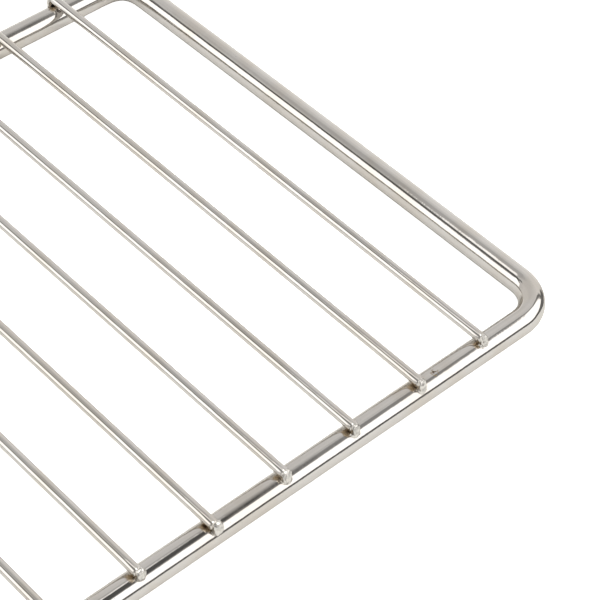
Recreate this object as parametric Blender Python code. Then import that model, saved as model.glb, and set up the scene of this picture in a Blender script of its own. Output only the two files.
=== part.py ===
# A welded wire cooling rack. One heavy rod is bent into a rectangle with round corners and its
# two ends are butt welded. Thinner parallel wires lie across the two long sides of the frame,
# and each wire end is fused to the rod under a knob of weld metal.
#
# Metres, +Z up. The origin is on the resting plane, under the middle of the rack. X runs along
# the long side, across the wires. Y runs along the wires.

import math

import bmesh
import bpy
from mathutils import Matrix, Vector

# Overall sizes, outside to outside of the frame rod.
RACK_LENGTH = 0.291          # along X
RACK_WIDTH = 0.2             # along Y

# Frame rod.
ROD_DIAMETER = 0.008
BEND_RADIUS = 0.012          # corner bend, at the rod's centre line
BUTT_WELD_LENGTH = 0.0012    # weld metal between the rod's two ends
BUTT_WELD_FLUSH = 0.00005    # how far the ground weld stays below the rod's skin

# Cross wires.
WIRE_DIAMETER = 0.0032
WIRE_COUNT = 10
END_SPACE = 0.029            # centre line of an end rod to the first wire
WELD_SINK = 0.00015          # how far a wire is pressed into the rod
WIRE_END_INSET = 0.0014      # wire end back from the rod's outer side

# Weld bead at a wire end.
BEAD_SIDE = 0.0007           # weld metal beside the wire, each side
BEAD_DEPTH = 0.0030          # along Y
BEAD_DROP = 0.002            # how far the bead hangs below the top of the rod
BEAD_EDGE_INSET = 0.00005    # bead back from the rod's outer side
BEAD_TOP_INSET = 0.0001      # bead below the top of the wire

# Gap kept between pieces that touch on the real rack.
JOINT_GAP = 0.0003

# Facets. Multiples of four put one flat facet at the bottom, the top and each side.
ROD_SIDES = 24
WIRE_SIDES = 16
BEND_STEPS = 8
BEAD_ROUND_STEPS = 12
BEAD_RING_STEPS = 8

# Places that follow from the sizes above.
ROD_RADIUS = ROD_DIAMETER / 2
WIRE_RADIUS = WIRE_DIAMETER / 2
HALF_AXIS_LENGTH = RACK_LENGTH / 2 - ROD_RADIUS
HALF_AXIS_WIDTH = RACK_WIDTH / 2 - ROD_RADIUS
WIRE_HEIGHT = ROD_DIAMETER + WIRE_RADIUS - WELD_SINK
WIRE_LENGTH = RACK_WIDTH - 2 * WIRE_END_INSET
WIRE_PITCH = 2 * (HALF_AXIS_LENGTH - END_SPACE) / (WIRE_COUNT - 1)
BEAD_WIDTH = WIRE_DIAMETER + 2 * BEAD_SIDE
BEAD_HEIGHT = WIRE_DIAMETER - WELD_SINK - BEAD_TOP_INSET + BEAD_DROP


def clear_scene():
    for old in list(bpy.data.objects):
        bpy.data.objects.remove(old, do_unlink=True)


def make_metal(name, colour, roughness):
    metal = bpy.data.materials.new(name)
    metal.use_nodes = True
    shader = metal.node_tree.nodes["Principled BSDF"]
    shader.inputs["Base Color"].default_value = (*colour, 1.0)
    shader.inputs["Metallic"].default_value = 1.0
    shader.inputs["Roughness"].default_value = roughness
    metal.diffuse_color = (*colour, 1.0)
    return metal


def mesh_from(bm, name, metal):
    bmesh.ops.recalc_face_normals(bm, faces=bm.faces[:])
    mesh = bpy.data.meshes.new(name)
    bm.to_mesh(mesh)
    bm.free()
    mesh.shade_smooth()
    mesh.set_sharp_from_angle(angle=math.radians(40))
    mesh.materials.append(metal)
    return mesh


def place(name, mesh, location=(0, 0, 0), turn=0.0):
    piece = bpy.data.objects.new(name, mesh)
    piece.location = location
    piece.rotation_euler = (0, 0, turn)
    bpy.context.scene.collection.objects.link(piece)
    return piece


def facet_radius(radius, sides):
    """Corner radius of a many-sided round whose flats lie at the given radius."""
    return radius / math.cos(math.pi / sides)


def add_round_bar(bm, radius, sides, length, along, centre):
    """A closed bar along "X" or "Y" whose lowest facet is flat and level."""
    turn_flat = Matrix.Rotation(math.pi / sides, 4, "Z")
    lay_down = Matrix.Rotation(math.pi / 2, 4, "Y" if along == "X" else "X")
    corner = facet_radius(radius, sides)
    bmesh.ops.create_cone(
        bm, cap_ends=True, segments=sides, radius1=corner, radius2=corner, depth=length,
        matrix=Matrix.Translation(centre) @ lay_down @ turn_flat)


def cut_away(mesh, cutter_bm):
    """Returns the mesh with the closed shape in cutter_bm taken out of it."""
    cutter_mesh = bpy.data.meshes.new("cutter")
    cutter_bm.to_mesh(cutter_mesh)
    cutter_bm.free()
    cutter = place("cutter", cutter_mesh)
    body = place("body", mesh)
    step = body.modifiers.new("cut", "BOOLEAN")
    step.operation = "DIFFERENCE"
    step.solver = "EXACT"
    step.object = cutter
    evaluated = body.evaluated_get(bpy.context.evaluated_depsgraph_get())
    result = bpy.data.meshes.new_from_object(evaluated)
    result.name = mesh.name
    bpy.data.objects.remove(body, do_unlink=True)
    bpy.data.objects.remove(cutter, do_unlink=True)
    return result


def run_straight(bm, loop, move):
    grown = bmesh.ops.extrude_edge_only(bm, edges=loop)["geom"]
    corners = [item for item in grown if isinstance(item, bmesh.types.BMVert)]
    bmesh.ops.translate(bm, verts=corners, vec=move)
    return [item for item in grown if isinstance(item, bmesh.types.BMEdge)]


def run_bend(bm, loop, centre):
    """Sweeps the loop a quarter turn to the left, seen from above."""
    swept = bmesh.ops.spin(
        bm, geom=loop, cent=centre, axis=(0, 0, 1), angle=math.pi / 2, steps=BEND_STEPS)
    return [item for item in swept["geom_last"] if isinstance(item, bmesh.types.BMEdge)]


def make_frame_rod(metal):
    # The rod starts beside the butt weld in the middle of the -X end and runs round the frame,
    # seen from above against the clock: down the -X end, along the near side, up the +X end,
    # back along the far side and down to the weld again.
    bm = bmesh.new()
    half_gap = BUTT_WELD_LENGTH / 2 + JOINT_GAP
    section = (Matrix.Translation((-HALF_AXIS_LENGTH, -half_gap, ROD_RADIUS))
               @ Matrix.Rotation(math.pi / 2, 4, "X")
               @ Matrix.Rotation(math.pi / ROD_SIDES, 4, "Z"))
    bmesh.ops.create_circle(
        bm, segments=ROD_SIDES, radius=facet_radius(ROD_RADIUS, ROD_SIDES), matrix=section)
    loop = bm.edges[:]

    turn_x = HALF_AXIS_LENGTH - BEND_RADIUS
    turn_y = HALF_AXIS_WIDTH - BEND_RADIUS
    half_end = turn_y - half_gap
    loop = run_straight(bm, loop, Vector((0, -half_end, 0)))
    loop = run_bend(bm, loop, (-turn_x, -turn_y, ROD_RADIUS))
    loop = run_straight(bm, loop, Vector((2 * turn_x, 0, 0)))
    loop = run_bend(bm, loop, (turn_x, -turn_y, ROD_RADIUS))
    loop = run_straight(bm, loop, Vector((0, 2 * turn_y, 0)))
    loop = run_bend(bm, loop, (turn_x, turn_y, ROD_RADIUS))
    loop = run_straight(bm, loop, Vector((-2 * turn_x, 0, 0)))
    loop = run_bend(bm, loop, (-turn_x, turn_y, ROD_RADIUS))
    run_straight(bm, loop, Vector((0, -half_end, 0)))

    ends = [edge for edge in bm.edges if edge.is_boundary]
    bmesh.ops.holes_fill(bm, edges=ends, sides=ROD_SIDES)
    place("frame_rod", mesh_from(bm, "frame_rod", metal))


def make_butt_weld(metal):
    bm = bmesh.new()
    add_round_bar(bm, ROD_RADIUS - BUTT_WELD_FLUSH, ROD_SIDES, BUTT_WELD_LENGTH, "Y", (0, 0, 0))
    mesh = mesh_from(bm, "butt_weld", metal)
    place("butt_weld", mesh, (-HALF_AXIS_LENGTH, 0, ROD_RADIUS))


def make_rod_room(y, length):
    """The frame rod and its clearance, as a cutter placed from the height of a wire's centre."""
    bm = bmesh.new()
    centre = (0, y, ROD_RADIUS - WIRE_HEIGHT)
    add_round_bar(bm, ROD_RADIUS + JOINT_GAP, ROD_SIDES, length, "X", centre)
    return bm


def make_wire_mesh(metal):
    # A straight wire with a shallow seat on its underside where it is pressed onto each rod.
    bm = bmesh.new()
    add_round_bar(bm, WIRE_RADIUS, WIRE_SIDES, WIRE_LENGTH, "Y", (0, 0, 0))
    wire = mesh_from(bm, "cross_wire", metal)
    for side in (-1, 1):
        wire = cut_away(wire, make_rod_room(side * HALF_AXIS_WIDTH, 2 * WIRE_DIAMETER))
    return wire


def make_bead_mesh(metal):
    # Seen from the middle of the wire's near end on the rod's centre line, at the height of the
    # wire: a rounded knob hangs over the rod's outer shoulder and caps the end of the wire.
    bead_y = -ROD_RADIUS + BEAD_EDGE_INSET + BEAD_DEPTH / 2
    bead_z = WIRE_RADIUS - BEAD_TOP_INSET - BEAD_HEIGHT / 2
    bm = bmesh.new()
    bmesh.ops.create_uvsphere(
        bm, u_segments=BEAD_ROUND_STEPS, v_segments=BEAD_RING_STEPS, radius=0.5,
        matrix=Matrix.Translation((0, bead_y, bead_z))
        @ Matrix.Diagonal((BEAD_WIDTH, BEAD_DEPTH, BEAD_HEIGHT, 1)))
    bead = mesh_from(bm, "weld_bead", metal)
    bead = cut_away(bead, make_rod_room(0, 2 * BEAD_WIDTH))

    wire_end_y = -ROD_RADIUS + WIRE_END_INSET
    wire_room = bmesh.new()
    add_round_bar(
        wire_room, WIRE_RADIUS + JOINT_GAP, WIRE_SIDES, ROD_DIAMETER, "Y",
        (0, wire_end_y - JOINT_GAP + ROD_DIAMETER / 2, 0))
    return cut_away(bead, wire_room)


def make_wires_and_beads(wire_metal, weld_metal):
    wire_mesh = make_wire_mesh(wire_metal)
    bead_mesh = make_bead_mesh(weld_metal)
    for index in range(WIRE_COUNT):
        x = HALF_AXIS_LENGTH - END_SPACE - index * WIRE_PITCH
        number = f"{index + 1:02d}"
        place("cross_wire_" + number, wire_mesh, (x, 0, WIRE_HEIGHT))
        place("weld_bead_near_" + number, bead_mesh, (x, -HALF_AXIS_WIDTH, WIRE_HEIGHT))
        place("weld_bead_far_" + number, bead_mesh, (x, HALF_AXIS_WIDTH, WIRE_HEIGHT), math.pi)


def main():
    clear_scene()
    rod_metal = make_metal("bright_plated_rod", (0.62, 0.59, 0.55), 0.12)
    butt_metal = make_metal("ground_butt_weld", (0.55, 0.52, 0.48), 0.30)
    wire_metal = make_metal("bright_plated_wire", (0.60, 0.57, 0.53), 0.14)
    weld_metal = make_metal("plated_weld_metal", (0.66, 0.64, 0.61), 0.28)
    make_frame_rod(rod_metal)
    make_butt_weld(butt_metal)
    make_wires_and_beads(wire_metal, weld_metal)


main()
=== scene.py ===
from math import atan2, cos, hypot, pi, radians, sin, sqrt
from random import Random

import bmesh
import bpy
from mathutils import Matrix, Vector, noise


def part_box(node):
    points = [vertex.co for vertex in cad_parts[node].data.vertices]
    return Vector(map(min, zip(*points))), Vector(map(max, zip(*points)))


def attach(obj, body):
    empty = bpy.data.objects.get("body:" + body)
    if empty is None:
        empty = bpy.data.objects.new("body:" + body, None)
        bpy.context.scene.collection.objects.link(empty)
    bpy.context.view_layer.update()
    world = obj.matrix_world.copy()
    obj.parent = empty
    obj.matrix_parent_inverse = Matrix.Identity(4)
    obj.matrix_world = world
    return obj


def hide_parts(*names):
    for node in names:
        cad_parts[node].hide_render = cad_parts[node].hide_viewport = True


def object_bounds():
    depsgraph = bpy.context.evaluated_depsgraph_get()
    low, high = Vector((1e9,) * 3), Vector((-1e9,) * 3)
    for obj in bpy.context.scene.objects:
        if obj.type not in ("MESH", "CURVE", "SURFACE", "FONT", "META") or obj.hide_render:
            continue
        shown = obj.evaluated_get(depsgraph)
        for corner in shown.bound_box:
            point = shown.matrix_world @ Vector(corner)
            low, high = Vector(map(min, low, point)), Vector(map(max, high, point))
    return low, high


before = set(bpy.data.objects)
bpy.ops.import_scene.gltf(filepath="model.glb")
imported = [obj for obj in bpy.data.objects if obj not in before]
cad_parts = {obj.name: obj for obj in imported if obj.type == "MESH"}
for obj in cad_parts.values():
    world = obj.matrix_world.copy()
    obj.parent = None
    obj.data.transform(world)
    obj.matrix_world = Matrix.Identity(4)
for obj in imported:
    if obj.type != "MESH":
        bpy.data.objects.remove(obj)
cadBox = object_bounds()
mm = 0.001

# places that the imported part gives
rodLow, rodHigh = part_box("frame_rod")
rodRadius = (rodHigh.z - rodLow.z) / 2
halfX = rodHigh.x - rodRadius            # the rod's centre line, from the middle of the rack
halfY = rodHigh.y - rodRadius
wireNames = sorted(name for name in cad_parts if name.startswith("cross_wire"))
wireBoxes = [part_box(name) for name in wireNames]
wirePlaces = [(low.x + high.x) / 2 for low, high in wireBoxes]
wireRadius = (wireBoxes[0][1].x - wireBoxes[0][0].x) / 2
wireHeight = (wireBoxes[0][1].z + wireBoxes[0][0].z) / 2
wireEnd = wireBoxes[0][1].y
wirePitch = wirePlaces[0] - wirePlaces[1]
print("frame loaded,", len(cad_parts), "nodes, wire pitch", round(wirePitch / mm, 2), "mm")


def linear(hexColour):
    parts = [int(hexColour[i:i + 2], 16) / 255 for i in (1, 3, 5)]
    return tuple(p / 12.92 if p <= 0.04045 else ((p + 0.055) / 1.055) ** 2.4 for p in parts) + (1.0,)


# inputs are numbers, colours or other nodes' outputs, and settings are the node's own values
def addNode(tree, kind, inputs=(), output=0, **settings):
    made = tree.nodes.new("ShaderNode" + kind)
    for key, value in settings.items():
        setattr(made, key, value)
    for key, value in inputs.items() if isinstance(inputs, dict) else enumerate(inputs):
        if isinstance(value, bpy.types.NodeSocket):
            tree.links.new(value, made.inputs[key])
        else:
            made.inputs[key].default_value = value
    return made.outputs[output]


def smoothRamp(low, high, value):
    t = min(1.0, max(0.0, (value - low) / (high - low)))
    return t * t * (3 - 2 * t)


# camera
cameraLook = {
    "place": (-0.226866, -0.363387, 0.467012),
    "turn": (43.7628, -2.5315, -42.3071),
    "lens": 133.993,
    "sensor": 36.0,
}
cameraData = bpy.data.cameras.new("camera")
cameraData.lens = cameraLook["lens"]
cameraData.sensor_width = cameraLook["sensor"]
cameraData.dof.use_dof = False
camera = bpy.data.objects.new("camera", cameraData)
camera.location = cameraLook["place"]
camera.rotation_euler = [radians(a) for a in cameraLook["turn"]]
bpy.context.scene.collection.objects.link(camera)
bpy.context.scene.camera = camera
bpy.context.scene.view_settings.view_transform = "Standard"
print("camera placed")

# studio: bright plating shows only what stands round it, so the softboxes are drawn on the world.
# Angles in degrees from the +X side, anticlockwise, and above the floor. Later panels lie over
# earlier ones. Lean and slope turn a panel's upright and level edges.
studio = {
    "room": 0.42,              # light between the panels
    "seam": 45,                # azimuths run from 180 below this angle to 180 above it
    "seenByCamera": "#f6f5f3",
    "panels": [
        # name, azimuth, half width, elevation, half height, lean, slope, soft edge, light
        ("leftWall", 150, 50, 0, 14, 0.0, 0.0, 6.0, 1.08),
        ("backdrop", 66, 56, 24, 36, 0.0, 0.0, 5.0, 0.92),
        ("backdropGlow", 18, 28, 14, 28, 0.0, 0.0, 24.0, 1.14),
        ("backdropFoot", 86, 22, 16, 20, 0.0, 0.0, 14.0, 1.0),
        ("backdropTop", 76, 46, 62, 7, 0.0, 0.0, 8.0, 0.66),
        ("rightGround", 45, 32, -10, 18, 0.0, 0.0, 8.0, 1.28),
        ("overheadDark", -13, 42, 71, 8.5, 0.0, 0.1, 4.0, 0.13),
        ("overheadStrip", 40, 17, 70, 6.5, 0.0, 0.0, 3.0, 1.8),
        ("overheadPanel", 109, 17, 68.5, 8, 0.0, -0.3, 3.0, 1.9),
        ("leftSoftboxFoot", 142, 20, 16, 11, 0.0, 0.0, 3.0, 2.1),
        ("leftSoftbox", 146, 20, 31, 8.5, 0.6, -0.25, 3.0, 2.1),
        ("leftGapFoot", 117, 9, 44, 4.5, 0.0, 0.2, 3.0, 0.30),
        ("leftGap", 133, 7.5, 47, 7.5, 0.0, 1.2, 3.0, 0.13),
        ("rightSoftbox", -53, 53, 33.8, 21.2, 0.35, 0.0, 3.0, 2.2),
        ("rightFoot", -38, 43, 7.5, 5.5, 0.0, -0.06, 3.0, 0.20),
        ("rightFootCorner", -15, 20, -8, 14, 0.0, 0.0, 6.0, 0.24),
        ("rightEdgeLine", 3, 2.8, 28, 26, 0.42, 0.0, 3.0, 0.28),
        ("rightEdgeTop", 8, 6, 58, 6, 0.0, 0.0, 6.0, 0.40),
        ("frontFill", -130, 30, 40, 34, 0.0, 0.0, 20.0, 1.0),
        ("zenithSoftbox", 0, 400, 90, 14, 0.0, 0.0, 4.0, 7.0),
    ],
}
world = bpy.data.worlds.new("studio")
bpy.context.scene.world = world
world.use_nodes = True
tree = world.node_tree
tree.nodes.clear()
direction = addNode(tree, "TexCoord", output="Generated")
turned = addNode(tree, "VectorRotate", {"Vector": direction, "Angle": radians(-studio["seam"])},
                 rotation_type="Z_AXIS")
x, y, z = addNode(tree, "SeparateXYZ", [turned]).node.outputs
azimuth = addNode(tree, "Math", [y, x], operation="ARCTAN2")
azimuth = addNode(tree, "Math", [azimuth, 180 / pi], operation="MULTIPLY")
elevation = addNode(tree, "Math", [z], operation="ARCSINE")
elevation = addNode(tree, "Math", [elevation, 180 / pi], operation="MULTIPLY")
light = studio["room"]
for name, azimuthAt, halfWide, elevationAt, halfHigh, lean, slope, soft, brightness in studio["panels"]:
    upright = addNode(tree, "Math", [elevation, elevationAt], operation="SUBTRACT")
    sideways = addNode(tree, "Math", [azimuth, azimuthAt - studio["seam"]], operation="SUBTRACT")
    inside = []
    for off, other, tilt, half in ((sideways, upright, lean, halfWide), (upright, sideways, slope, halfHigh)):
        tilted = addNode(tree, "Math", [other, tilt], operation="MULTIPLY")
        away = addNode(tree, "Math", [off, tilted], operation="SUBTRACT")
        away = addNode(tree, "Math", [away], operation="ABSOLUTE")
        inside.append(addNode(tree, "MapRange", [away, half + soft / 2, half - soft / 2],
                              interpolation_type="SMOOTHSTEP"))
    inside = addNode(tree, "Math", inside, operation="MULTIPLY")
    light = addNode(tree, "Mix", {0: inside, 2: light, 3: brightness}, data_type="FLOAT", label=name)
room = addNode(tree, "Background", [light])
plain = addNode(tree, "Background", [linear(studio["seenByCamera"])])
seen = addNode(tree, "LightPath", output="Is Camera Ray")
mixed = addNode(tree, "MixShader", [seen, room, plain])
tree.links.new(mixed, tree.nodes.new("ShaderNodeOutputWorld").inputs["Surface"])
print("studio lit,", len(studio["panels"]), "panels")

# floor: what the camera sees is an even white sweep, and what the metal mirrors is a shaded sheet of
# paper that ends close to the right rod
floorLook = {
    "size": 8.0,
    "colour": "#e6e6e4",
    "roughness": 0.9,
    "glow": 0.95,
    "mirroredGlow": 0.19,
    "below": 0.2 * mm,         # the mirrored paper lies this far under the seen one
    "edgeFrom": 0.016,         # the mirrored paper ends this far to the right of the rod
    "edgeTurned": -34,         # in front of the corner its edge runs off at this angle
}


def makeFloor(name, height, seenByCamera):
    half = floorLook["size"] / 2
    bm = bmesh.new()
    place = Matrix.Translation((0, 0, height))
    bmesh.ops.create_grid(bm, x_segments=1, y_segments=1, size=half, matrix=place)
    if not seenByCamera:
        corner = Vector((cadBox[1].x + floorLook["edgeFrom"], cadBox[0].y, height))
        turn = radians(floorLook["edgeTurned"])
        cuts = (Vector((1, 0, 0)), Vector((-sin(turn), cos(turn), 0)))
        for normal in cuts:
            geom = list(bm.verts) + list(bm.edges) + list(bm.faces)
            bmesh.ops.bisect_plane(bm, geom=geom, dist=1e-6, plane_co=corner, plane_no=normal)
        beyond = [f for f in bm.faces if all(n.dot(f.calc_center_median() - corner) > 0 for n in cuts)]
        bmesh.ops.delete(bm, geom=beyond, context="FACES")
    mesh = bpy.data.meshes.new(name)
    bm.to_mesh(mesh)
    bm.free()
    paper = bpy.data.materials.new(name + "Paper")
    paper.use_nodes = True
    shader = paper.node_tree.nodes["Principled BSDF"]
    shader.inputs["Base Color"].default_value = linear(floorLook["colour"])
    shader.inputs["Roughness"].default_value = floorLook["roughness"]
    shader.inputs["Emission Color"].default_value = (1.0, 1.0, 1.0, 1.0)
    glow = floorLook["glow"] if seenByCamera else floorLook["mirroredGlow"]
    shader.inputs["Emission Strength"].default_value = glow
    mesh.materials.append(paper)
    floor = bpy.data.objects.new(name, mesh)
    bpy.context.scene.collection.objects.link(floor)
    floor.visible_camera = seenByCamera
    floor.visible_glossy = not seenByCamera
    if seenByCamera:
        floor.visible_diffuse = floor.visible_transmission = floor.visible_shadow = False


makeFloor("floor", 0.0, True)
makeFloor("floorMirrored", -floorLook["below"], False)
print("floor laid")

# Nickel-chrome plated steel, drawn then electroplated bright: close to a mirror, faintly warm, with fine
# draw lines along the metal, a slow waviness that makes the reflections wander, and a few specks.
platingLook = {
    "colour": "#c2beb9",
    "warmPatch": "#beb8b0",
    "speck": "#6c6358",
    "tintStraw": "#8d7650",
    "tintBrown": "#3b2a1c",
    "edge": "#efeeeb",         # the metal stays grey where it turns away from the eye
    "roughness": 0.05,
    "smudge": 0.04,            # what smudges, draw lines, specks and heat add to the roughness
    "drawn": 0.02,
    "pitted": 0.25,
    "tinted": 0.22,
    "drawLine": 0.12 * mm,     # spacing of the draw lines, drawn coarser than the real 0.02 mm so as to show
    "drawLength": 14 * mm,
    "pitSpacing": 1.6 * mm,
    "patterns": {              # size, detail and roughness of each noise
        "patch": (14 * mm, 3.0, 0.5),
        "smudge": (5 * mm, 4.0, 0.65),
        "ripple": (2.2 * mm, 2.0, 0.5),    # ripple of the plating
        "wave": (11 * mm, 1.0, 0.5),       # slow wave left by straightening
        "peel": (0.7 * mm, 2.0, 0.5),      # orange peel of the plating
    },
    "bumps": {                 # strength and depth of each relief, finest first
        "lines": (0.30, 0.010 * mm),
        "peel": (0.5, 0.012 * mm),
        "ripple": (0.5, 0.022 * mm),
        "wave": (0.5, 0.18 * mm),
    },
}


def platedSteel(name, alongAxis, onRod):
    look = platingLook
    material = bpy.data.materials.new(name)
    material.use_nodes = True
    tree = material.node_tree
    shader = tree.nodes["Principled BSDF"]
    if onRod:
        place = addNode(tree, "Attribute", output="Vector", attribute_name="alongRod")
    else:
        place = addNode(tree, "TexCoord", output="Object")
    stretch = [1.0 / look["drawLine"]] * 3
    stretch[alongAxis] = 1.0 / look["drawLength"]
    drawn = addNode(tree, "Mapping", {"Vector": place, "Scale": stretch})
    lines = {"Vector": drawn, "Scale": 1.0, "Detail": 2.0, "Roughness": 0.6}
    made = {"lines": addNode(tree, "TexNoise", lines)}
    for word, (size, detail, rough) in look["patterns"].items():
        made[word] = addNode(tree, "TexNoise",
                             {"Vector": place, "Scale": 1 / size, "Detail": detail, "Roughness": rough})
    pits = addNode(tree, "TexVoronoi", {"Vector": place, "Scale": 1 / look["pitSpacing"]}).node
    pit = addNode(tree, "MapRange", [pits.outputs["Distance"], 0.10, 0.03], interpolation_type="SMOOTHSTEP")
    keep = addNode(tree, "SeparateColor", [pits.outputs["Color"]], "Red")
    keep = addNode(tree, "MapRange", [keep, 0.80, 0.86], interpolation_type="SMOOTHSTEP")    # one in six
    pit = addNode(tree, "Math", [pit, keep], operation="MULTIPLY")

    warm = addNode(tree, "MapRange", [made["patch"], 0.40, 0.66], interpolation_type="SMOOTHSTEP")
    speck = addNode(tree, "Math", [pit, 0.7], operation="MULTIPLY")
    layers = [(warm, "warmPatch"), (speck, "speck")]
    rough = look["roughness"] - look["smudge"] / 2
    for pattern, word in ((made["smudge"], "smudge"), (made["lines"], "drawn"), (pit, "pitted")):
        rough = addNode(tree, "Math", [pattern, look[word], rough], operation="MULTIPLY_ADD")
    if onRod:
        tint = heatRound(tree)
        straw = addNode(tree, "MapRange", [tint, 0.15, 0.55], interpolation_type="SMOOTHSTEP")
        brown = addNode(tree, "MapRange", [tint, 0.45, 0.9], interpolation_type="SMOOTHSTEP")
        thin = addNode(tree, "Math", [straw, 0.8], operation="MULTIPLY")
        layers += [(thin, "tintStraw"), (brown, "tintBrown")]
        rough = addNode(tree, "Math", [straw, look["tinted"], rough], operation="MULTIPLY_ADD")
    colour = linear(look["colour"])
    for factor, word in layers:
        colour = addNode(tree, "Mix", {0: factor, 6: colour, 7: linear(look[word])}, 2, data_type="RGBA")
    normal = {}
    for word, (strength, depth) in look["bumps"].items():
        relief = {"Strength": strength, "Distance": depth, "Height": made[word], **normal}
        normal = {"Normal": addNode(tree, "Bump", relief)}
    tree.links.new(colour, shader.inputs["Base Color"])
    tree.links.new(rough, shader.inputs["Roughness"])
    tree.links.new(normal["Normal"], shader.inputs["Normal"])
    shader.inputs["Metallic"].default_value = 1.0
    shader.inputs["Specular Tint"].default_value = linear(look["edge"])
    return material


# Heat of welding leaves a straw to brown patch on the rod, to the left of each joint. One joint was
# overheated and is darker, and a few rust specks lie between the first two wires.
heatLook = {
    "reach": 2.15 * mm,
    # the patch's middle: aside from its wire, out from the middle of the rack, and up
    "place": (1.9 * mm, halfY + 0.1 * mm, rodRadius * 1.9),
    "stretch": (1.0, 0.8, 1.0),
    "core": 0.2 * mm,          # full strength within this distance
    "ragged": 1.8 * mm,        # how far the patch's edge wanders, and the grain of it
    "raggedGrain": 1.6 * mm,
    "strength": 0.42,          # the same at every joint, then by chance, then at the overheated one
    "strengthChance": 0.30,
    "hotStrength": 0.35,
    "hotJoint": 4,
    "speckPlace": (94.3 * mm, -96.2 * mm, 8.0 * mm),
    "speckReach": (1.9 * mm, 0.5 * mm),
    "speckGrain": 0.55 * mm,
    "speckStrength": 0.8,
}


def heatRound(tree):
    look = heatLook
    place = addNode(tree, "TexCoord", output="Object")
    x, y, z = addNode(tree, "SeparateXYZ", [place]).node.outputs
    step = addNode(tree, "Math", [wirePlaces[0], x], operation="SUBTRACT")
    step = addNode(tree, "Math", [step, wirePitch], operation="DIVIDE")
    nearest = addNode(tree, "Math", [step], operation="ROUND")
    nearest = addNode(tree, "Clamp", [nearest, 0.0, len(wirePlaces) - 1])
    offX = addNode(tree, "Math", [step, nearest], operation="SUBTRACT")
    offX = addNode(tree, "Math", [offX, wirePitch], operation="MULTIPLY")
    near = addNode(tree, "Math", [y, 0.0], operation="LESS_THAN")
    hot = addNode(tree, "Math", [nearest, look["hotJoint"], 0.5], operation="COMPARE")
    hot = addNode(tree, "Math", [near, hot], operation="MULTIPLY")
    outward = addNode(tree, "Math", [y], operation="ABSOLUTE")
    away = addNode(tree, "CombineXYZ", [offX, outward, z])
    away = addNode(tree, "VectorMath", [away, look["place"]], operation="SUBTRACT")
    away = addNode(tree, "VectorMath", [away, look["stretch"]], operation="MULTIPLY")
    away = addNode(tree, "VectorMath", [away], "Value", operation="LENGTH")
    ragged = addNode(tree, "TexNoise", {"Vector": place, "Scale": 1 / look["raggedGrain"], "Detail": 3.0})
    ragged = addNode(tree, "Math", [ragged, 0.5], operation="SUBTRACT")
    away = addNode(tree, "Math", [ragged, look["ragged"], away], operation="MULTIPLY_ADD")
    patch = addNode(tree, "MapRange", [away, look["reach"], look["core"]], interpolation_type="SMOOTHSTEP")
    seed = addNode(tree, "CombineXYZ", [nearest, near])
    each = addNode(tree, "TexWhiteNoise", {"Vector": seed})
    strength = addNode(tree, "Math", [each, look["strengthChance"], look["strength"]],
                       operation="MULTIPLY_ADD")
    strength = addNode(tree, "Math", [hot, look["hotStrength"], strength], operation="MULTIPLY_ADD")
    tint = addNode(tree, "Math", [patch, strength], operation="MULTIPLY")

    away = addNode(tree, "VectorMath", [place, look["speckPlace"]], "Value", operation="DISTANCE")
    speck = addNode(tree, "MapRange", [away, *look["speckReach"]], interpolation_type="SMOOTHSTEP")
    grain = addNode(tree, "TexNoise", {"Vector": place, "Scale": 1 / look["speckGrain"], "Detail": 1.0})
    grain = addNode(tree, "MapRange", [grain, 0.47, 0.54], interpolation_type="SMOOTHSTEP")
    speck = addNode(tree, "Math", [speck, grain], operation="MULTIPLY")
    speck = addNode(tree, "Math", [speck, look["speckStrength"]], operation="MULTIPLY")
    return addNode(tree, "Math", [tint, speck], operation="MAXIMUM")


# Weld metal, resistance welded and then plated over: satin rather than bright, a little crumpled,
# with dark pinholes and brown specks of oxide where it meets the rod.
weldLook = {
    "colour": "#cfcbc4",
    "grey": "#a9a6a1",
    "oxide": "#5b4836",
    "roughness": 0.24,
    "cloudy": 0.16,            # what clouds and pinholes add to the roughness
    "pitted": 0.2,
    "cloud": 1.3 * mm,
    "crumple": 0.55 * mm,
    "crumpleDeep": 0.06 * mm,
    "pinhole": 0.9 * mm,
    "pinholeDeep": 0.05 * mm,
    "oxideHeight": (7.6 * mm, 6.0 * mm),    # none above the first, full below the second
}


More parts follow.
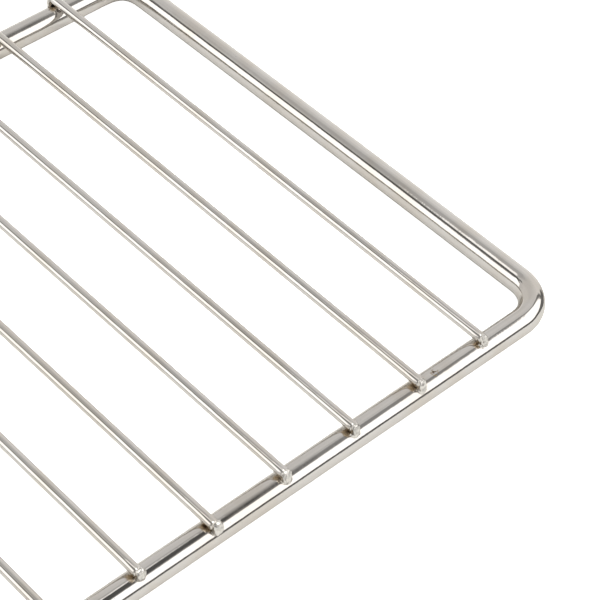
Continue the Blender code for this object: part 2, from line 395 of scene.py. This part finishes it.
def weldMetal():
    look = weldLook
    material = bpy.data.materials.new("platedWeldMetal")
    material.use_nodes = True
    tree = material.node_tree
    shader = tree.nodes["Principled BSDF"]
    place = addNode(tree, "TexCoord", output="Object")
    grain = {"Vector": place, "Detail": 4.0, "Roughness": 0.6}
    cloud = addNode(tree, "TexNoise", {**grain, "Scale": 1 / look["cloud"]})
    crumple = addNode(tree, "TexNoise", {**grain, "Scale": 1 / look["crumple"]})
    holes = addNode(tree, "TexVoronoi", {"Vector": place, "Scale": 1 / look["pinhole"]}).node
    hole = addNode(tree, "MapRange", [holes.outputs["Distance"], 0.22, 0.08], interpolation_type="SMOOTHSTEP")
    keep = addNode(tree, "SeparateColor", [holes.outputs["Color"]], "Green")
    keep = addNode(tree, "MapRange", [keep, 0.62, 0.72], interpolation_type="SMOOTHSTEP")    # one in three
    hole = addNode(tree, "Math", [hole, keep], operation="MULTIPLY")
    height = addNode(tree, "SeparateXYZ", [place], "Z")
    low = addNode(tree, "MapRange", [height, *look["oxideHeight"]], interpolation_type="SMOOTHSTEP")
    oxide = addNode(tree, "MapRange", [cloud, 0.50, 0.68], interpolation_type="SMOOTHSTEP")
    oxide = addNode(tree, "Math", [oxide, low], operation="MULTIPLY")
    grey = addNode(tree, "MapRange", [cloud, 0.38, 0.70], interpolation_type="SMOOTHSTEP")
    colour = addNode(tree, "Mix", {0: grey, 6: linear(look["colour"]), 7: linear(look["grey"])}, 2,
                     data_type="RGBA")
    for dark in (oxide, hole):
        factor = addNode(tree, "Math", [dark, 0.7], operation="MULTIPLY")
        colour = addNode(tree, "Mix", {0: factor, 6: colour, 7: linear(look["oxide"])}, 2, data_type="RGBA")
    rough = look["roughness"] - look["cloudy"] / 2
    rough = addNode(tree, "Math", [cloud, look["cloudy"], rough], operation="MULTIPLY_ADD")
    rough = addNode(tree, "Math", [hole, look["pitted"], rough], operation="MULTIPLY_ADD")
    bump = addNode(tree, "Bump", {"Strength": 0.6, "Distance": look["crumpleDeep"], "Height": crumple})
    bump = addNode(tree, "Bump", {"Strength": 0.5, "Distance": look["pinholeDeep"], "Height": hole,
                                  "Normal": bump}, invert=True)
    tree.links.new(colour, shader.inputs["Base Color"])
    tree.links.new(rough, shader.inputs["Roughness"])
    tree.links.new(bump, shader.inputs["Normal"])
    shader.inputs["Metallic"].default_value = 1.0
    return material


# The butt weld, ground flush with a belt and plated: fine lines round the rod, so the reflections smear.
groundLook = {
    "dark": "#aaa59d",
    "light": "#c4c0b9",
    "roughness": 0.2,
    "lineRoughness": 0.2,      # what the lines add to it
    "lineLength": 2 * mm,
    "lineSpacing": 0.08 * mm,  # the grain of a P180 belt
    "lineDeep": 0.02 * mm,
}


def groundWeld():
    look = groundLook
    material = bpy.data.materials.new("groundWeldMetal")
    material.use_nodes = True
    tree = material.node_tree
    shader = tree.nodes["Principled BSDF"]
    stretch = (1 / look["lineLength"], 1 / look["lineSpacing"], 1 / look["lineLength"])
    place = addNode(tree, "TexCoord", output="Object")
    drawn = addNode(tree, "Mapping", {"Vector": place, "Scale": stretch})
    lines = addNode(tree, "TexNoise", {"Vector": drawn, "Scale": 1.0, "Detail": 3.0})
    colour = addNode(tree, "Mix", {0: lines, 6: linear(look["dark"]), 7: linear(look["light"])}, 2,
                     data_type="RGBA")
    rough = addNode(tree, "Math", [lines, look["lineRoughness"], look["roughness"]], operation="MULTIPLY_ADD")
    bump = addNode(tree, "Bump", {"Strength": 0.4, "Distance": look["lineDeep"], "Height": lines})
    tree.links.new(colour, shader.inputs["Base Color"])
    tree.links.new(rough, shader.inputs["Roughness"])
    tree.links.new(bump, shader.inputs["Normal"])
    shader.inputs["Metallic"].default_value = 1.0
    return material


rodSteel = platedSteel("brightPlatedRodSteel", 0, True)
wireSteel = platedSteel("brightPlatedWireSteel", 1, False)
knobMetal = weldMetal()
buttMetal = groundWeld()
print("metals mixed")


def finishPiece(bm, name, material, nodes):
    bmesh.ops.remove_doubles(bm, verts=bm.verts, dist=1e-7)
    bmesh.ops.recalc_face_normals(bm, faces=bm.faces)
    for face in bm.faces:
        face.smooth = len(face.verts) < 5
    mesh = bpy.data.meshes.new(name)
    bm.to_mesh(mesh)
    bm.free()
    mesh.materials.append(material)
    piece = bpy.data.objects.new(name, mesh)
    bpy.context.scene.collection.objects.link(piece)
    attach(piece, "root")
    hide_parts(*nodes)


def pullEdges(bm, edges, way, steps):
    for i in range(steps):
        grown = bmesh.ops.extrude_edge_only(bm, edges=edges)["geom"]
        moved = [v for v in grown if isinstance(v, bmesh.types.BMVert)]
        bmesh.ops.translate(bm, vec=way / steps, verts=moved)
        edges = [e for e in grown if isinstance(e, bmesh.types.BMEdge)]
    return edges


# frame rod: one round bar, bent at four corners, its ends meeting at the butt weld
rodLook = {
    "sides": 72,
    "bendRadius": 12 * mm,
    "bendSteps": 20,
    "straightStep": 6 * mm,
    "weldGap": 1.2 * mm,
    "lean": 0.9 * mm,          # the right side leans in by this much at its far end
    "leanFrom": -40 * mm,      # from here on along the right side
    "leanSteeper": 1.5,
    "leanWide": 60 * mm,       # and fades over this much of the far side
    "sharper": 1.5 * mm,       # the bend there was made tighter, so its middle lies further out
}


def makeFrameRod():
    look = rodLook
    bend = look["bendRadius"]
    runX, runY = 2 * (halfX - bend), 2 * (halfY - bend)
    bm = bmesh.new()
    start = Matrix.Translation((-halfX, -look["weldGap"] / 2, rodRadius)) @ Matrix.Rotation(pi / 2, 4, "X")
    bmesh.ops.create_circle(bm, segments=look["sides"], radius=rodRadius, matrix=start)
    edges = firstEdges = list(bm.edges)
    firstRun = halfY - bend - look["weldGap"] / 2
    runs = [
        (Vector((0, -firstRun, 0)), Vector((-halfX + bend, -halfY + bend, 0))),
        (Vector((runX, 0, 0)), Vector((halfX - bend, -halfY + bend, 0))),
        (Vector((0, runY, 0)), Vector((halfX - bend, halfY - bend, 0))),
        (Vector((-runX, 0, 0)), Vector((-halfX + bend, halfY - bend, 0))),
        (Vector((0, -firstRun, 0)), None),
    ]
    for way, corner in runs:
        edges = pullEdges(bm, edges, way, max(2, round(way.length / look["straightStep"])))
        if corner:
            turned = bmesh.ops.spin(bm, geom=edges, cent=corner, axis=(0, 0, 1), angle=pi / 2,
                                    steps=look["bendSteps"], use_duplicate=False)["geom_last"]
            edges = [e for e in turned if isinstance(e, bmesh.types.BMEdge)]
    for end in (firstEdges, edges):
        bmesh.ops.contextual_create(bm, geom=end)

    # where each point would lie if the rod were straight: along, outwards, up
    layer = bm.verts.layers.float_vector.new("alongRod")
    flatX, flatY = halfX - bend, halfY - bend
    quarter = bend * pi / 2
    for v in bm.verts:
        x, y, z = v.co
        if abs(y) <= flatY and x < 0:
            along, out = -y, -x - halfX
        elif abs(x) <= flatX and y < 0:
            along, out = flatY + quarter + x + flatX, -y - halfY
        elif abs(y) <= flatY:
            along, out = flatY + 2 * quarter + 2 * flatX + y + flatY, x - halfX
        elif abs(x) <= flatX:
            along, out = 3 * flatY + 3 * quarter + 2 * flatX + flatX - x, y - halfY
        else:
            cx, cy = abs(x) - flatX, abs(y) - flatY
            out = hypot(cx, cy) - bend
            turn = atan2(cy, cx) * bend
            if x < 0 and y < 0:
                along = flatY + turn
            elif y < 0:
                along = flatY + 2 * quarter + 2 * flatX - turn
            elif x > 0:
                along = 3 * flatY + 2 * quarter + 2 * flatX + turn
            else:
                along = 3 * flatY + 4 * quarter + 4 * flatX - turn
        v[layer] = (along, out, z - rodRadius)
        leaning = max(0.0, (y - look["leanFrom"]) / (halfY - look["leanFrom"])) ** look["leanSteeper"]
        v.co.x -= look["lean"] * leaning * smoothRamp(flatX - look["leanWide"], flatX, x)
        if x > flatX and y > flatY:
            push = look["sharper"] * sin(2 * atan2(y - flatY, x - flatX)) ** 2
            v.co += Vector((push, push, 0)) / sqrt(2)
    finishPiece(bm, "frame_rod_bright", rodSteel, ["frame_rod"])


makeFrameRod()
print("frame rod bent")

# butt weld: a flush collar between the rod's two ends
buttLook = {
    "sides": 72,
    "steps": 6,
    "sink": 0.05 * mm,         # its edges lie this far below the rod's surface
    "crown": 0.03 * mm,        # and its middle rises by this much
}


def makeButtWeld():
    look = buttLook
    bm = bmesh.new()
    length = rodLook["weldGap"]
    place = Matrix.Translation((-halfX, length / 2, rodRadius)) @ Matrix.Rotation(pi / 2, 4, "X")
    bmesh.ops.create_circle(bm, segments=look["sides"], radius=rodRadius - look["sink"], matrix=place)
    first = list(bm.edges)
    last = pullEdges(bm, first, Vector((0, -length, 0)), look["steps"])
    for end in (first, last):
        bmesh.ops.contextual_create(bm, geom=end)
    for v in bm.verts:
        rise = look["crown"] * cos(v.co.y / length * pi)
        off = Vector((v.co.x + halfX, 0, v.co.z - rodRadius))
        v.co += off.normalized() * rise
    finishPiece(bm, "butt_weld_ground", buttMetal, ["butt_weld"])


makeButtWeld()
print("butt weld ground")

# weld knobs: the melted wire end, pressed down over the rod's outer shoulder. Each one is different.
knobLook = {
    "rows": 36,
    "around": 48,
    "square": 0.82,            # below 1 fills out the corners of the egg shape
    "lumps": ((1.6, 0.16), (3.4, 0.30), (8.0, 0.06)),    # how fine and how high, coarse to fine
    "ridges": (8.5, 0.10),
    "dimple": 0.38,
    "topGap": 0.03 * mm,       # top of a knob below the top of the wires
    "edgeGap": 0.05 * mm,      # outer face back from the rod's outer side
    "fillet": 0.55 * mm,       # weld metal spreading on the rod
    # sideways from the wire, out from the rod's centre line and down from the wire's, half sizes
    # across, deep and tall, all in mm, then lean, narrow foot, ridges, dimple, crumple and flat face
    "shapes": [
        (0.05, 1.15, 0.55, 1.42, 1.10, 2.15, 0.25, 0.10, 1.6, 0.5, 0.6, 0.2),
        (0.00, 1.97, 0.75, 1.40, 1.05, 2.45, 0.45, 0.30, 0.5, 0.0, 0.05, 0.5),
        (0.00, 1.83, 0.60, 1.36, 1.05, 2.30, 0.35, 0.05, 0.0, 1.0, 0.15, 0.5),
        (0.05, 1.72, 0.65, 1.52, 1.15, 2.25, 0.35, 0.10, 0.3, 0.3, 0.6, 0.3),
        (0.20, 2.75, 0.90, 1.60, 1.20, 2.30, 0.15, 0.00, 0.0, 0.1, 0.15, 1.0),
        (0.30, 1.55, 0.45, 1.54, 1.10, 1.98, 0.20, 0.12, 0.8, 0.1, 0.25, 0.2),
    ],
    "vary": (0.9, 1.08),       # how far the other knobs differ from one of these
}
chance = Random(11)
shapes = knobLook["shapes"]
knobPlan = {}
for index in range(len(wirePlaces)):
    for word in ("near", "far"):
        if word == "near" and index < len(shapes):
            shape = shapes[index]
        else:
            like = shapes[chance.randrange(len(shapes))]
            shape = [value * chance.uniform(*knobLook["vary"]) for value in like]
        knobPlan[word, index] = (shape, chance.uniform(0, 50))


def makeKnob(name, x, side, shape, seed):
    look = knobLook
    aside, out, down, across, deep, tall, lean, foot, ridge, dimple, crumple, flat = shape
    bm = bmesh.new()
    bmesh.ops.create_uvsphere(bm, u_segments=look["around"], v_segments=look["rows"], radius=1.0)
    for v in bm.verts:
        d = v.co.normalized()
        full = Vector([abs(c) ** look["square"] * (1 if c > 0 else -1) for c in d])
        below = smoothRamp(0.2, -1.0, d.z)
        outward = smoothRamp(0.1, 0.9, -d.y)
        p = Vector((full.x * across, full.y * deep, full.z * tall))
        p.x *= 1 - foot * below
        p.y += lean * d.z * 1.2
        coarse, middle, fine = (
            high * noise.noise(d * many + Vector([seed if axis == turn else 0 for axis in range(3)]))
            for turn, (many, high) in enumerate(look["lumps"]))
        push = coarse + crumple * (middle + fine)
        many, high = look["ridges"]
        push += ridge * high * cos(d.x * many + seed) * outward * smoothRamp(0.9, 0.2, d.z)
        hollow = hypot(d.x * 1.5 + 0.1, d.z + 0.15)
        push -= dimple * look["dimple"] * smoothRamp(0.55, 0.05, hollow) * outward
        p += d * push
        p.y = max(p.y, -deep * (1.3 - 0.5 * flat))
        v.co = p * mm
    outerEdge = halfY + rodRadius - look["edgeGap"]
    top = wireHeight + wireRadius - look["topGap"]
    for v in bm.verts:
        v.co += Vector((aside * mm, -(halfY + out * mm), wireHeight - down * mm))
        off = Vector((0, v.co.y + halfY, v.co.z - rodRadius))
        touch = smoothRamp(rodRadius + 1.0 * mm, rodRadius - 0.1 * mm, off.length)
        spread = look["fillet"] * touch * touch * smoothRamp(0.2 * mm, 1.2 * mm, abs(v.co.x))
        v.co.x += spread if v.co.x > 0 else -spread
        v.co.y = max(v.co.y, -outerEdge)
        v.co.z = min(v.co.z, top)
        v.co.x, v.co.y = (x + v.co.x, v.co.y) if side < 0 else (x - v.co.x, -v.co.y)
    finishPiece(bm, name + "_melted", knobMetal, [name])


for (word, index), (shape, seed) in knobPlan.items():
    makeKnob(f"weld_bead_{word}_{index + 1:02d}", wirePlaces[index], -1 if word == "near" else 1, shape, seed)
print(len(knobPlan), "weld knobs melted")

# cross wires: drawn wire, cut to length, each end rounded off inside its knob
wireLook = {
    "sides": 40,
    "step": 5 * mm,
    "endRound": 0.7 * mm,
    "endSteps": 4,
    "endInside": 0.35 * mm,    # the wire stops this far short of its knob's middle
    "sway": 0.03 * mm,         # how far a wire wanders from straight, and how often
    "swayPerMetre": 30,
    # how far single wires were laid off their even places, at the near and the far end
    "drift": {
        0: (0.05 * mm, 0.30 * mm),
        1: (0.05 * mm, 0.28 * mm),
        2: (0.0, 0.10 * mm),
        4: (-0.44 * mm, -0.25 * mm),
    },
}


def makeWire(index, name, x):
    look = wireLook
    ends = {}
    for word in ("near", "far"):
        ends[word] = min(halfY + knobPlan[word, index][0][1] * mm - look["endInside"], wireEnd)
    length = ends["near"] + ends["far"]
    bm = bmesh.new()
    place = Matrix.Translation((x, -ends["near"], wireHeight)) @ Matrix.Rotation(-pi / 2, 4, "X")
    bmesh.ops.create_circle(bm, segments=look["sides"], radius=wireRadius - look["sway"] / 2, matrix=place)
    first = list(bm.edges)
    last = pullEdges(bm, first, Vector((0, length, 0)), round(length / look["step"]))
    for end in (first, last):
        cap = bmesh.ops.contextual_create(bm, geom=end)["faces"][0]
        bmesh.ops.bevel(bm, geom=list(cap.edges), offset=look["endRound"], affect="EDGES",
                        segments=look["endSteps"], profile=0.5, material=-1)
    nearDrift, farDrift = look["drift"].get(index, (0.0, 0.0))
    for v in bm.verts:
        along = v.co.y * look["swayPerMetre"]
        v.co.x += nearDrift + (farDrift - nearDrift) * (v.co.y + ends["near"]) / length
        v.co.x += look["sway"] * noise.noise((along, index * 7.3, 0.5))
        v.co.z += look["sway"] / 2 * noise.noise((along, index * 7.3, 9.5))
    finishPiece(bm, name + "_bright", wireSteel, [name])


for index, (name, x) in enumerate(zip(wireNames, wirePlaces)):
    makeWire(index, name, x)
print(len(wireNames), "wires laid")
